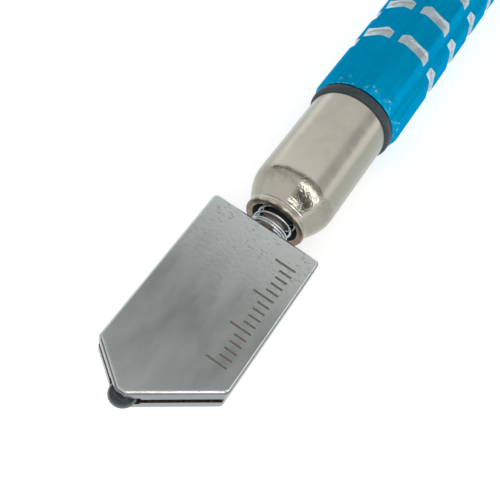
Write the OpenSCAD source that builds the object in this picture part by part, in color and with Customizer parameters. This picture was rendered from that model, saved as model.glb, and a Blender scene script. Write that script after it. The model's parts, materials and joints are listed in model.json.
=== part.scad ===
// Glass cutter with a swivelling head, a sprung oil valve and an oil reservoir in the handle.
//
// Frame: +X runs along the handle from the cutting wheel to the filler cap, +Z is up, and the
// origin is at the bottom centre of the tool's box as it lies on a table. Sizes are millimetres.
// Lengths along the handle are worked out from the nose plane, where the ferrule's shoulder
// meets its gasket: the ferrule and head lie ahead of it, at negative x, and the barrel behind.

/* [Handle barrel] */
// Length of the barrel
barrel_len = 108; // [60:1:140]
// Diameter of the barrel across the ridges of its lobes
barrel_d = 13.3; // [12.6:0.1:20]
// Number of lobes round the barrel
lobe_count = 6; // [5:1:8]
// Angle that the flat facet of each lobe spans
facet_angle = 30; // [16:1:32]
// Depth of the valleys between the lobes, below the ridges
valley_depth = 0.65; // [0.2:0.05:0.9]
// Diameter of the oil reservoir's bore
reservoir_d = 9; // [5:0.1:9.2]
// Length of the tapered edge at each end of the barrel
barrel_edge_len = 1.2; // [0.3:0.1:3]
// Radial depth of that edge
barrel_edge_depth = 0.5; // [0.1:0.05:1]

/* [Ring cuts] */
// Number of rings cut across the lobes
ring_count = 10; // [1:1:12]
// Distance from the nose plane to the middle of the first ring
ring_first = 13; // [6:0.5:20]
// Distance between rings
ring_pitch = 7; // [4:0.5:9]
// Width of a ring at its mouth, on the ridges
ring_mouth_w = 2.05; // [1:0.05:3]
// Width of a ring at its floor
ring_floor_w = 1.6; // [0.6:0.05:2.5]
// Depth of a ring below the ridges
ring_depth = 0.46; // [0.1:0.02:0.6]

/* [Ferrule] */
// Diameter of the ferrule
ferrule_d = 11.5; // [9.5:0.1:13]
// Length of the ferrule ahead of its shoulder
ferrule_len = 19.6; // [15:0.1:30]
// Length of the rounded front part of the ferrule
ferrule_round_len = 5.3; // [2:0.1:8]
// Share of that rounded part over which the side turns before it closes in
shoulder_share = 0.41; // [0.2:0.01:0.8]
// Diameter of the rolled lip at the mouth
lip_d = 8.5; // [7.6:0.1:9.4]
// Diameter of the narrow neck just behind the lip
neck_d = 8.3; // [7.3:0.1:9]
// Length of the lip
lip_len = 1; // [0.6:0.1:2]
// Diameter of the mouth and of the spring pocket behind it
pocket_d = 6.5; // [6.2:0.1:6.8]
// Depth of the spring pocket
pocket_depth = 10; // [6:0.1:12]
// Diameter of the threaded spigot that screws into the barrel
spigot_d = 9.4; // [8.8:0.1:10]
// Length of the spigot
spigot_len = 9; // [7:0.1:14]
// Diameter of the valve chamber inside the spigot
chamber_d = 6.6; // [6.4:0.1:7.2]
// Outer diameter of the gasket behind the ferrule
gasket_d = 12.4; // [10.4:0.1:13.2]
// Thickness of that gasket
gasket_t = 1.5; // [0.6:0.1:3]

/* [Spindle and valve] */
// Diameter of the spindle
spindle_d = 3.5; // [3.2:0.1:4.2]
// Diameter of the journal that the head turns on
journal_d = 3; // [2.5:0.1:3.1]
// Diameter of the stud that carries the valve parts
stud_d = 2.5; // [2:0.1:2.8]
// Diameter of the oil bore inside the spindle
oil_bore_d = 1; // [0.6:0.1:1.2]
// Travel of the spindle when the head is pressed on the glass
press_travel = 1.2; // [0.6:0.1:2]
// Distance from the nose plane to the valve seat
seat_x = 1.5; // [0.5:0.1:2]
// Diameter of the valve seal
seal_d = 5.6; // [5:0.1:6]
// Thickness of the valve seal
seal_t = 1.2; // [0.6:0.1:1.6]
// Diameter of the valve washer
washer_d = 5.2; // [4.6:0.1:6]
// Thickness of the valve washer and of the spring's seat washer
washer_t = 0.5; // [0.3:0.1:0.8]
// Width of the valve nut across its flats
nut_w = 4.6; // [4:0.1:5.2]
// Height of the valve nut
nut_h = 1.8; // [1:0.1:2]
// Thickness of the O-ring's rubber
o_ring_t = 0.58; // [0.4:0.02:0.8]

/* [Return spring] */
// Mean diameter of the spring's coils
spring_d = 5; // [4.7:0.1:5.4]
// Thickness of the spring's wire
wire_d = 0.35; // [0.2:0.05:0.5]
// Number of open coils
open_coils = 9; // [5:0.5:12]
// Number of closed coils against the head
front_coils = 2; // [1:0.5:5]
// Number of closed coils against the seat washer
rear_coils = 1.5; // [1:0.5:3]
// Angle round the handle's axis at which the wire starts, from its left side over the top
coil_start = 118; // [0:1:359]

/* [Head] */
// Width of the head
head_w = 15.5; // [12:0.1:20]
// Thickness of the head
head_t = 5.3; // [5:0.1:8]
// Length of the head from its top edge to its blunted tip
head_len = 27.15; // [22:0.05:36]
// Gap between the ferrule's mouth and the head's top edge
head_gap = 2.35; // [2:0.05:6]
// Distance of the tip from the head's centreline
tip_offset = 1.95; // [0:0.05:3]
// Width of the blunt end of the tip
tip_w = 1.1; // [0.6:0.1:2]
// Slope of the two tip edges from straight across
tip_slope = 36.3; // [25:0.1:45]
// Size of the bevel round both faces
head_bevel = 0.35; // [0.1:0.05:0.8]
// Width of the slot in the tip
slot_w = 1.3; // [0.8:0.05:1.6]
// Depth of the slot from the tip
slot_depth = 6.65; // [5:0.05:9]
// Swivel of the head about the handle's axis as the tool lies
head_roll = 13; // [-45:1:45]
// Depth of the journal's bore in the head
journal_depth = 9; // [7:0.1:12]

/* [Wheel] */
// Diameter of the cutting wheel
wheel_d = 3.4; // [2.8:0.1:4.4]
// Thickness of the wheel between its flat sides
wheel_t = 1; // [0.6:0.05:1.4]
// Radial depth of the wheel's ground edge
wheel_edge = 0.22; // [0.1:0.01:0.4]
// Diameter of the raised hub on each side of the wheel
hub_d = 2.1; // [1.7:0.1:2.4]
// Thickness of the wheel over its hubs
hub_t = 2.1; // [1.6:0.05:2.6]
// Distance of the wheel's centre from the tip's blunt end
wheel_inset = 0.7; // [0.4:0.05:1]
// Radial gap between the wheel and its pocket
wheel_room = 0.4; // [0.1:0.05:0.6]
// Diameter of the axle
axle_d = 1.2; // [0.8:0.05:1.4]

/* [Head screw] */
// Diameter of the retaining screw's thread
screw_d = 2.5; // [2:0.1:3]
// Diameter of the screw's plain point
point_d = 1; // [0.8:0.1:1.4]
// Distance of the screw from the head's top edge
screw_x = 5; // [3:0.1:7]

/* [Oil wick] */
// Diameter of the wick
wick_d = 0.76; // [0.5:0.02:0.8]
// Diameter of the channel that holds it
channel_d = 0.9; // [0.84:0.02:1.2]

/* [Filler cap] */
// Diameter of the cap
cap_d = 12.6; // [10:0.1:18]
// Length of the cap behind its gasket
cap_len = 14.4; // [8:0.1:24]
// Length of the cap's threaded spigot
cap_spigot_len = 7; // [4:0.1:10]
// Number of knurl grooves round the cap
knurl_count = 30; // [12:1:40]
// Depth of a knurl groove
knurl_depth = 0.35; // [0.1:0.05:0.6]
// Thickness of the cap's gasket
cap_gasket_t = 1; // [0.5:0.1:2]

/* [Clearances] */
// Radial clearance of running fits
running = 0.05; // [0.02:0.01:0.1]
// Radial clearance of screwed and pressed fits
fixed_fit = 0.02; // [0.01:0.01:0.05]
// Radial clearance between a threaded spigot and its socket
thread_fit = 0.05; // [0.02:0.01:0.1]
// End clearance between pieces that move past each other
end_play = 0.05; // [0.02:0.01:0.15]

/* [Hidden] */

round_fn = 96;       // circles that stay true circles
past = 1;            // how far a cutting tool runs past what it cuts

// Barrel
ridge_r = barrel_d / 2;
valley_r = ridge_r - valley_depth;
lobe_pitch = 360 / lobe_count;
socket_r = spigot_d / 2 + thread_fit;
socket_len = spigot_len + past;
barrel_x = gasket_t;
barrel_end = barrel_x + barrel_len;
axis_height = ridge_r * cos((lobe_pitch - facet_angle) / 2);

// Ferrule
mouth_x = -ferrule_len;
pocket_floor_x = mouth_x + pocket_depth;
guide_r = spindle_d / 2 + running;

// Head, in its own frame: the same x, y across the head and z through its thickness
head_top_x = mouth_x - head_gap;
tip_x = head_top_x - head_len;
wheel_x = tip_x + wheel_inset;
wheel_y = tip_offset;
slope_run = tan(tip_slope);
right_corner_x = tip_x + (head_w / 2 + tip_offset - tip_w / 2) * slope_run;
left_corner_x = tip_x + (head_w / 2 - tip_offset - tip_w / 2) * slope_run;
head_outline = [
    [head_top_x, head_w / 2], [head_top_x, -head_w / 2], [right_corner_x, -head_w / 2],
    [tip_x, tip_offset - tip_w / 2], [tip_x, tip_offset + tip_w / 2], [left_corner_x, head_w / 2]
];
pocket_half_t = hub_t / 2 + end_play;
axle_cover = 0.8;    // how deep the axle's blind hole goes past the wheel's pocket
axle_top = pocket_half_t + axle_cover;

// Spindle and valve
journal_r = journal_d / 2;
journal_end_x = head_top_x - journal_depth + end_play;
shaft_front_x = head_top_x + end_play;
groove_w = point_d + 4 * running;
groove_x = head_top_x - screw_x;
groove_depth = 0.45;
oil_inlet_x = seat_x - press_travel + oil_bore_d / 2 - running;
o_ring_x = (pocket_floor_x + oil_inlet_x) / 2;
o_ring_r = guide_r - fixed_fit - o_ring_t / 2;
o_ring_groove_w = o_ring_t * 1.4;
seal_end_x = seat_x + seal_t;
washer_end_x = seal_end_x + washer_t;
nut_end_x = washer_end_x + nut_h;
stud_end_x = nut_end_x + 0.5;

// Spring
spring_front_x = head_top_x + end_play + wire_d / 2;
spring_rear_x = pocket_floor_x - washer_t - end_play - wire_d / 2;
closed_pitch = wire_d + 0.02;
wire_sides = 6;
wire_steps = 12;     // rings of points to a turn

// Cap
cap_x = barrel_end + cap_gasket_t;
cap_end = cap_x + cap_len;
cap_flange_len = 1.4;
cap_waist_len = 1.6;
cap_waist_r = cap_d / 2 - 1;
cap_dome_len = 2.6;
cap_crown_r = cap_d / 2 - 2;

// The wheel's rim is the front of the tool and the cap's crown is its back
front_x = wheel_x - wheel_d / 2;
origin_x = -(front_x + cap_end) / 2;

// ---------- placing ----------

// Stands the handle's axis at its height over the table, with the box's middle at x = 0
module place() translate([origin_x, 0, axis_height]) children();

// The head's pieces swivel together about the handle's axis
module place_head() place() rotate([head_roll, 0, 0]) children();

// Local +Z becomes the handle's +X, starting at x
module along_x(x) translate([x, 0, 0]) rotate([0, 90, 0]) children();

module rod(x_from, x_to, r) along_x(x_from) cylinder(h = x_to - x_from, r = r, $fn = round_fn);

module ring(x_from, x_to, r_out, r_in) {
    difference() {
        rod(x_from, x_to, r_out);
        rod(x_from - past, x_to + past, r_in);
    }
}

// ---------- handle ----------

// Cross-section of the barrel: a flat facet on each lobe and a straight-sided valley between
function lobe_corners(middle) = [
    for (corner = [[-facet_angle / 2, ridge_r], [facet_angle / 2, ridge_r], [lobe_pitch / 2, valley_r]])
        corner[1] * [cos(middle + corner[0]), sin(middle + corner[0])]
];

module lobed_section()
    polygon([for (k = [0:lobe_count - 1]) each lobe_corners(-90 + (k + 0.5) * lobe_pitch)]);

// Bar that tapers at both ends, which the lobed bar is cut down to
module edge_envelope() {
    edge_r = ridge_r - barrel_edge_depth;
    taper_len = barrel_edge_len * (barrel_edge_depth + past) / barrel_edge_depth;
    along_x(0) rotate_extrude($fn = round_fn) polygon([
        [0, barrel_x], [edge_r, barrel_x], [ridge_r + past, barrel_x + taper_len],
        [ridge_r + past, barrel_end - taper_len], [edge_r, barrel_end], [0, barrel_end]
    ]);
}

module ring_cut(x) {
    flare = (ring_mouth_w - ring_floor_w) / 2 / ring_depth;
    along_x(x) rotate_extrude($fn = round_fn) polygon([
        [ridge_r - ring_depth, -ring_floor_w / 2],
        [ridge_r + past, -ring_floor_w / 2 - flare * (ring_depth + past)],
        [ridge_r + past, ring_floor_w / 2 + flare * (ring_depth + past)],
        [ridge_r - ring_depth, ring_floor_w / 2]
    ]);
}

module handle_barrel() {
    color("deepskyblue") place() difference() {
        intersection() {
            translate([barrel_x, 0, 0]) rotate([90, 0, 90]) linear_extrude(barrel_len) lobed_section();
            edge_envelope();
        }
        rod(barrel_x - past, barrel_end + past, reservoir_d / 2);
        rod(barrel_x - past, socket_len, socket_r);
        rod(barrel_end - cap_spigot_len - past, barrel_end + past, socket_r);
        for (k = [0:ring_count - 1]) ring_cut(ring_first + k * ring_pitch);
    }
}

module ferrule_gasket() {
    color("darkslategray") place() along_x(0) rotate_extrude($fn = round_fn) {
        translate([socket_r, 0]) square([gasket_d / 2 - gasket_t / 2 - socket_r, gasket_t]);
        translate([gasket_d / 2 - gasket_t / 2, gasket_t / 2]) intersection() {
            circle(d = gasket_t, $fn = round_fn);
            translate([0, -gasket_t / 2]) square([gasket_t, gasket_t]);
        }
    }
}

// ---------- ferrule ----------

// Curve from the ferrule's side to its neck, as [radius, x] points
function shoulder_points(steps) =
    let (
        side = [ferrule_d / 2, mouth_x + ferrule_round_len],
        neck = [neck_d / 2, mouth_x + lip_len],
        bend = [side[0], side[1] - (side[1] - neck[1]) * shoulder_share]
    )
    [for (i = [0:steps]) let (t = i / steps) side * (1 - t) ^ 2 + bend * 2 * t * (1 - t) + neck * t ^ 2];

module ferrule_outside() {
    rod(mouth_x + ferrule_round_len, 0, ferrule_d / 2);
    along_x(0) rotate_extrude($fn = round_fn)
        polygon([[0, mouth_x + ferrule_round_len], each shoulder_points(10), [0, mouth_x + lip_len]]);
    rod(mouth_x + lip_len / 2, mouth_x + lip_len, neck_d / 2);
    lip_bead();
    rod(0, spigot_len, spigot_d / 2);
}

// Rolled lip: a round bead on the mouth's edge
module lip_bead() {
    bead_r = lip_len / 2;
    along_x(mouth_x + bead_r) rotate_extrude($fn = round_fn) {
        translate([lip_d / 2 - bead_r, 0]) circle(r = bead_r, $fn = round_fn);
        translate([0, -bead_r]) square([lip_d / 2 - bead_r, lip_len]);
    }
}

module ferrule() {
    color("tan") place() difference() {
        ferrule_outside();
        rod(mouth_x - past, pocket_floor_x, pocket_d / 2);
        rod(mouth_x, spigot_len, guide_r);
        rod(seat_x, spigot_len + past, chamber_d / 2);
    }
}

module spring_seat_washer() {
    color("silver") place()
        ring(pocket_floor_x - washer_t, pocket_floor_x, pocket_d / 2 - thread_fit, guide_r + running);
}

// ---------- return spring ----------

coil_turns = front_coils + open_coils + rear_coils;
open_pitch = (spring_rear_x - spring_front_x - (front_coils + rear_coils) * closed_pitch) / open_coils;

// Distance along the axis at a number of turns from the front end
function spring_x(turn) =
    spring_front_x + closed_pitch * min(turn, front_coils)
    + open_pitch * max(0, min(turn - front_coils, open_coils))
    + closed_pitch * max(0, turn - front_coils - open_coils);

// One ring of points round the wire
function wire_ring(turn) = [
    for (s = [0:wire_sides - 1])
        let (
            side = 360 * s / wire_sides,
            r = spring_d / 2 + wire_d / 2 * cos(side),
            a = 360 * turn + coil_start
        )
        [spring_x(turn) + wire_d / 2 * sin(side), r * cos(a), r * sin(a)]
];

module return_spring() {
    last = round(coil_turns * wire_steps);
    points = [for (i = [0:last]) each wire_ring(i / wire_steps)];
    sides = [
        for (i = [0:last - 1]) for (s = [0:wire_sides - 1])
            let (a = i * wire_sides + s, b = i * wire_sides + (s + 1) % wire_sides)
            [a, b, b + wire_sides, a + wire_sides]
    ];
    front_end = [for (s = [wire_sides - 1:-1:0]) s];
    rear_end = [for (s = [0:wire_sides - 1]) last * wire_sides + s];
    color("lightsteelblue") place()
        polyhedron(points = points, faces = concat(sides, [front_end, rear_end]), convexity = 10);
}

// ---------- spindle and valve ----------

module spindle() {
    color("gray") place() difference() {
        union() {
            rod(journal_end_x, shaft_front_x, journal_r);
            rod(shaft_front_x, seat_x, spindle_d / 2);
            rod(seat_x, stud_end_x, stud_d / 2);
        }
        // groove that the head's screw runs in
        ring(groove_x - groove_w / 2, groove_x + groove_w / 2, spindle_d, journal_r - groove_depth);
        // groove of the O-ring
        ring(
            o_ring_x - o_ring_groove_w / 2, o_ring_x + o_ring_groove_w / 2,
            spindle_d, o_ring_r - o_ring_t / 2 - fixed_fit
        );
        // oil bore, and the inlet hole across its rear end
        rod(journal_end_x - past, oil_inlet_x, oil_bore_d / 2);
        translate([oil_inlet_x, 0, 0])
            cylinder(h = spindle_d * 2, d = oil_bore_d, center = true, $fn = round_fn);
    }
}

module spindle_o_ring() {
    color("dimgray") place() along_x(o_ring_x) rotate_extrude($fn = round_fn)
        translate([o_ring_r, 0]) circle(d = o_ring_t, $fn = round_fn);
}

module valve_seal() {
    color("dimgray") place() ring(seat_x, seal_end_x, seal_d / 2, stud_d / 2 + fixed_fit);
}

module valve_washer() {
    color("silver") place() ring(seal_end_x, washer_end_x, washer_d / 2, stud_d / 2 + fixed_fit);
}

module valve_nut() {
    color("goldenrod") place() difference() {
        along_x(washer_end_x) cylinder(h = nut_h, d = nut_w / cos(30), $fn = 6);
        rod(washer_end_x - past, nut_end_x + past, stud_d / 2 + fixed_fit);
    }
}

// ---------- head ----------

// Cuts the bevel along one edge of the outline, whose inside is to the left, on the front face
module edge_bevel(from, to) {
    run = to - from;
    translate([from[0], from[1], head_t / 2]) rotate([0, 0, atan2(run[1], run[0])])
        translate([0, head_bevel / 2, -head_bevel / 2]) rotate([45, 0, 0])
            translate([-head_w, -head_t, 0]) cube([norm(run) + head_w * 2, head_t * 2, head_t]);
}

module bevelled_plate() {
    last = len(head_outline) - 1;
    difference() {
        translate([0, 0, -head_t / 2]) linear_extrude(head_t) polygon(head_outline);
        for (flip = [0, 1]) mirror([0, 0, flip])
            for (i = [0:last])
                edge_bevel(head_outline[(i + 1) % (last + 1)], head_outline[i]);
    }
}

// Channel from the journal's bore to the wheel's slot, or the wick in it
module wick_shape(d, from_x, length) {
    aim = atan2(wheel_y, wheel_x - (head_top_x - journal_depth));
    translate([head_top_x - journal_depth, 0, 0]) rotate([0, 0, aim])
        along_x(from_x) cylinder(h = length, d = d, $fn = round_fn);
}

wick_len = norm([head_top_x - journal_depth - wheel_x, wheel_y]) - wheel_d / 2 - 0.3;

module head_body() {
    color("lightslategray") place_head() difference() {
        bevelled_plate();
        // slot and wheel pocket
        translate([tip_x - past, -head_w, -slot_w / 2]) cube([slot_depth + past, head_w * 2, slot_w]);
        translate([wheel_x, wheel_y, -pocket_half_t])
            cylinder(h = pocket_half_t * 2, r = wheel_d / 2 + wheel_room, $fn = round_fn);
        // axle hole, blind at the front
        translate([wheel_x, wheel_y, -head_t / 2 - past])
            cylinder(h = head_t / 2 + past + axle_top, r = axle_d / 2 + fixed_fit, $fn = round_fn);
        // bore for the spindle's journal, and the oil channel beyond it
        rod(head_top_x - journal_depth, head_top_x + past, journal_r + running);
        wick_shape(channel_d, -past / 2, wick_len);
        // retaining screw's hole
        translate([groove_x, 0, -head_t / 2 - past])
            cylinder(h = head_t / 2 + past, r = screw_d / 2 + fixed_fit, $fn = round_fn);
    }
}

module head_screw() {
    point_tip = -(journal_r - groove_depth + running);
    thread_top = -(journal_r + running);
    slot_cut_w = 0.4;
    slot_cut_depth = 0.35;
    color("gainsboro") place_head() difference() {
        union() {
            translate([groove_x, 0, -head_t / 2])
                cylinder(h = head_t / 2 + thread_top, d = screw_d, $fn = round_fn);
            translate([groove_x, 0, -head_t / 2])
                cylinder(h = head_t / 2 + point_tip, d = point_d, $fn = round_fn);
        }
        translate([groove_x - slot_cut_w / 2, -screw_d, -head_t / 2 - past])
            cube([slot_cut_w, screw_d * 2, slot_cut_depth + past]);
    }
}

module wheel_axle() {
    color("gainsboro") place_head() translate([wheel_x, wheel_y, -head_t / 2])
        cylinder(h = head_t / 2 + axle_top - end_play, d = axle_d, $fn = round_fn);
}

module cutting_wheel() {
    face_r = wheel_d / 2 - wheel_edge;
    bore_r = axle_d / 2 + running;
    color("dimgray") place_head() translate([wheel_x, wheel_y, 0]) rotate_extrude($fn = round_fn) polygon([
        [bore_r, -hub_t / 2], [hub_d / 2, -hub_t / 2], [hub_d / 2, -wheel_t / 2], [face_r, -wheel_t / 2],
        [wheel_d / 2, 0],
        [face_r, wheel_t / 2], [hub_d / 2, wheel_t / 2], [hub_d / 2, hub_t / 2], [bore_r, hub_t / 2]
    ]);
}

module oil_wick() {
    color("ivory") place_head() wick_shape(wick_d, end_play, wick_len - end_play);
}

// ---------- filler cap ----------

// Half outline of the cap's knob as [radius, x] points, with a waist and a rounded crown
function dome_points(steps) = [
    for (i = [0:steps])
        let (turn = 90 * i / steps)
        [cap_crown_r + (cap_d / 2 - cap_crown_r) * cos(turn), cap_end - cap_dome_len * (1 - sin(turn))]
];

module knob() {
    flange_end = cap_x + cap_flange_len;
    waist_end = flange_end + cap_waist_len;
    along_x(0) rotate_extrude($fn = round_fn) polygon([
        [0, cap_x], [cap_d / 2, cap_x], [cap_d / 2, flange_end], [cap_waist_r, flange_end],
        [cap_waist_r, waist_end], [cap_d / 2, waist_end], each dome_points(8), [0, cap_end]
    ]);
}

module knurl_groove(turn) {
    groove_start = cap_x + cap_flange_len + cap_waist_len - past / 2;
    groove_end = cap_end - cap_dome_len - knurl_depth;
    side = knurl_depth * sqrt(2) + past;
    rotate([turn, 0, 0]) translate([groove_start, 0, cap_d / 2 - knurl_depth])
        rotate([45, 0, 0]) cube([groove_end - groove_start, side, side]);
}

module filler_cap() {
    color("tan") place() {
        difference() {
            knob();
            for (k = [0:knurl_count - 1]) knurl_groove(360 * k / knurl_count);
        }
        rod(barrel_end - cap_spigot_len, cap_x, spigot_d / 2);
    }
}

module cap_gasket() {
    color("dimgray") place() ring(barrel_end, cap_x, cap_d / 2 - 0.3, socket_r);
}

handle_barrel();
ferrule();
ferrule_gasket();
spring_seat_washer();
return_spring();
spindle();
spindle_o_ring();
valve_seal();
valve_washer();
valve_nut();
head_body();
head_screw();
wheel_axle();
cutting_wheel();
oil_wick();
filler_cap();
cap_gasket();
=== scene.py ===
"""Looks of the glass cutter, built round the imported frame.

Shapes are made in millimetres in the tool's own frame: x runs back along the handle from the
nose plane, where the ferrule's shoulder meets its gasket, and the handle's axis is y = z = 0.
The head's pieces are made lying flat and are turned with the head's swivel. Each piece is then
put into the frame's metres.
"""
import json
from math import atan2, ceil, cos, pi, radians, sin, tan

import bmesh
import bpy
from mathutils import Matrix, Vector


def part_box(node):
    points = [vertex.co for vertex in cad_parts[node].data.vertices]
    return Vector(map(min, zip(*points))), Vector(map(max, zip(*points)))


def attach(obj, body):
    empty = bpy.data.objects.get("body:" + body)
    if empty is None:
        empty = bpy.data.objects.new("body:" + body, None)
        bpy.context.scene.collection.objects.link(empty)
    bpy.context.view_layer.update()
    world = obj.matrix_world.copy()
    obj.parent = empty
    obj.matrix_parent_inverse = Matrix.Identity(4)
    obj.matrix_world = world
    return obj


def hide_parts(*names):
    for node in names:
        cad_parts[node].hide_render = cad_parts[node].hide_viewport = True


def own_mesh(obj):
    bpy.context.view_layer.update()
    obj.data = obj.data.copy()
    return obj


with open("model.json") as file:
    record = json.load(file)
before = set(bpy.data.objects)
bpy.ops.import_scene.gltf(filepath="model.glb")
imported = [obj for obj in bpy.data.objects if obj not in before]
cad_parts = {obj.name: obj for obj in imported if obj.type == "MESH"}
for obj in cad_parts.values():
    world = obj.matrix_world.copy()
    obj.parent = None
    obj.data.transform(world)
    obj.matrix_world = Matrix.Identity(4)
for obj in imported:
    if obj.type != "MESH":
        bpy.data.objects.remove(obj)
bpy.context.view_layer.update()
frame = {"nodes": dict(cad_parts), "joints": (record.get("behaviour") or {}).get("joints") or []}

MM = 0.001
ARC_STEP = radians(9)          # longest step of a rounded corner
SHARP = radians(32)            # edges turning more than this are drawn sharp
CUT_EDGE = radians(35)         # edges of a cut piece turning more than this are rounded
TAU = 2 * pi

# sides of round surfaces: the handle's; the wheel's and gaskets'; the bores' and the spindle's; the pins'
HANDLE_SIDES, RING_SIDES, BORE_SIDES, PIN_SIDES = 144, 96, 64, 48

# ---------- the frame ----------

NOSE_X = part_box("ferrule_gasket")[0].x / MM
AXIS_Z = sum(corner.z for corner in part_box("handle_barrel")) / 2 / MM
JOINTS = {joint["name"]: joint for joint in frame["joints"]}
spin_axis = JOINTS["wheel_spin"]["axis"]
HEAD_ROLL = atan2(-spin_axis[1], spin_axis[2])

# ---------- sizes that more than one piece or finish uses ----------

SOCKET_R = 4.75                # the barrel's sockets, and the bores of both gaskets
POCKET_R = 3.25                # the ferrule's mouth
SCREW_SETBACK = 5.0            # the head's screw, from the head's edge by the handle

# cross-section of the barrel: flat ridges, with two flanks meeting in each valley
LOBES = 6
RIDGE_R = 6.65
VALLEY_R = 6.0
FACET_HALF = radians(15)
EDGE_R = 6.15                  # the barrel's ends, before their taper reaches the lobes
EDGE_LEN = 1.2
LOBE_HALF = pi / LOBES
APOTHEM = RIDGE_R * cos(FACET_HALF)
flank_run = VALLEY_R * cos(LOBE_HALF) - APOTHEM
flank_rise = VALLEY_R * sin(LOBE_HALF) - RIDGE_R * sin(FACET_HALF)
FLANK_TURN = atan2(-flank_run, flank_rise)
FLANK_APOTHEM = RIDGE_R * cos(FLANK_TURN - FACET_HALF)


def to_tool(turn):
    """Matrix from the frame's metres to tool millimetres, in the head's turned frame if asked."""
    origin = Matrix.Translation((NOSE_X * MM, 0, AXIS_Z * MM))
    return (origin @ Matrix.Rotation(turn, 4, "X") @ Matrix.Scale(MM, 4)).inverted()


def span(node, turn=0):
    """Lowest and highest corner of a CAD node in tool millimetres."""
    points = [to_tool(turn) @ vertex.co for vertex in frame["nodes"][node].data.vertices]
    low = Vector([min(point[i] for point in points) for i in range(3)])
    high = Vector([max(point[i] for point in points) for i in range(3)])
    return low, high


# ---------- outlines and meshes ----------

def rounded(corners, closed=True):
    """Outline through (a, b, radius) corners, with an arc of that radius at each corner."""
    points = []
    last = len(corners) - 1
    for i, (a, b, radius) in enumerate(corners):
        here = Vector((a, b))
        if radius == 0 or (not closed and i in (0, last)):
            points.append(here)
            continue
        before = (Vector(corners[i - 1][:2]) - here).normalized()
        after = (Vector(corners[(i + 1) % len(corners)][:2]) - here).normalized()
        half = before.angle(after) / 2
        centre = here + (before + after).normalized() * (radius / sin(half))
        start = here + before * (radius / tan(half)) - centre
        end = here + after * (radius / tan(half)) - centre
        sweep = atan2(start.cross(end), start.dot(end))
        steps = max(2, ceil(abs(sweep) / ARC_STEP * max(1, radius ** 0.5)))
        for k in range(steps + 1):
            points.append(centre + Matrix.Rotation(sweep * k / steps, 2) @ start)
    return points


def skin(loops, wrap=False):
    """Mesh over loops of points that all have the same count, capped at its ends or joined round."""
    bm = bmesh.new()
    rows = [[bm.verts.new(point) for point in loop] for loop in loops]
    count = len(rows[0])
    pairs = list(zip(rows, rows[1:]))
    if wrap:
        pairs.append((rows[-1], rows[0]))
    else:
        bm.faces.new(rows[0])
        bm.faces.new(reversed(rows[-1]))
    for one, two in pairs:
        for k in range(count):
            n = (k + 1) % count
            bm.faces.new((one[k], two[k], two[n], one[n]))
    bmesh.ops.remove_doubles(bm, verts=bm.verts, dist=1e-5)
    bmesh.ops.dissolve_degenerate(bm, edges=bm.edges, dist=1e-6)
    bmesh.ops.recalc_face_normals(bm, faces=bm.faces)
    return bm


def lathe(profile, sides=RING_SIDES):
    """Solid of revolution about the handle's axis from a closed outline of (x, radius) points."""
    turns = [TAU * k / sides for k in range(sides)]
    return skin([[Vector((x, r * sin(t), r * cos(t))) for x, r in profile] for t in turns], wrap=True)


def rod(x_from, x_to, radius, sides=RING_SIDES):
    """Plain round bar along the handle's axis, used for cutting."""
    return lathe([(x_from, 0), (x_from, radius), (x_to, radius), (x_to, 0)], sides)


def plate(outline, low, high):
    """Flat outline of (x, y) points given a thickness along z."""
    return skin([[Vector((x, y, z)) for x, y in outline] for z in (low, high)])


def threaded(x_from, x_to, core, crest, pitch):
    """Rod with a rounded helical thread, which fades out over half a turn at both ends."""
    sides, rows_per_turn = 64, 8
    count = ceil((x_to - x_from) / pitch * rows_per_turn)
    loops = []
    for i in range(count + 1):
        x = x_from + (x_to - x_from) * i / count
        fade = min(1, (x - x_from) / (pitch / 2), (x_to - x) / (pitch / 2))
        loop = []
        for k in range(sides):
            height = 0.5 - 0.5 * cos(TAU * (x / pitch - k / sides))
            r = core + (crest - core) * height * fade
            loop.append(Vector((x, r * sin(TAU * k / sides), r * cos(TAU * k / sides))))
        loops.append(loop)
    return skin(loops)


def moved(bm, matrix):
    """The same mesh after a move or a turn."""
    bmesh.ops.transform(bm, matrix=matrix, verts=bm.verts)
    return bm


def solid(name, bm, material):
    """Object from a bmesh, still in millimetres."""
    mesh = bpy.data.meshes.new(name)
    bm.to_mesh(mesh)
    bm.free()
    mesh.materials.append(material)
    made = bpy.data.objects.new(name, mesh)
    bpy.context.scene.collection.objects.link(made)
    return made


def bake(made):
    """Applies an object's modifiers to its mesh."""
    graph = bpy.context.evaluated_depsgraph_get()
    mesh = bpy.data.meshes.new_from_object(made.evaluated_get(graph))
    made.modifiers.clear()
    made.data = mesh


def combine(made, tools, operation="DIFFERENCE"):
    """Cuts tools from, or joins them to, an object. Cut faces take their tool's material."""
    for bm, material in tools:
        tool = solid("tool", bm, material)
        step = made.modifiers.new("combine", "BOOLEAN")
        step.operation = operation
        step.solver = "EXACT"
        step.material_mode = "TRANSFER"
        step.object = tool
        bpy.context.view_layer.update()
        bake(made)
        bpy.data.objects.remove(tool)


def soften(made, width):
    """Rounds the edges of a cut piece."""
    step = made.modifiers.new("soften", "BEVEL")
    step.width = width
    step.segments = 2
    step.limit_method = "ANGLE"
    step.angle_limit = CUT_EDGE
    step.miter_outer = "MITER_ARC"
    bpy.context.view_layer.update()
    bake(made)


def place(made, body, node, turn=0):
    """Puts a finished piece into the frame, in place of its CAD node."""
    made.data.transform(to_tool(turn).inverted())
    made.data.polygons.foreach_set("use_smooth", [True] * len(made.data.polygons))
    made.data.set_sharp_from_angle(angle=SHARP)
    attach(made, body)
    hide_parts(node)
    return made


# ---------- materials ----------

NOISE_RANGE = (0.3, 0.7)       # values that a noise mostly stays between


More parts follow.
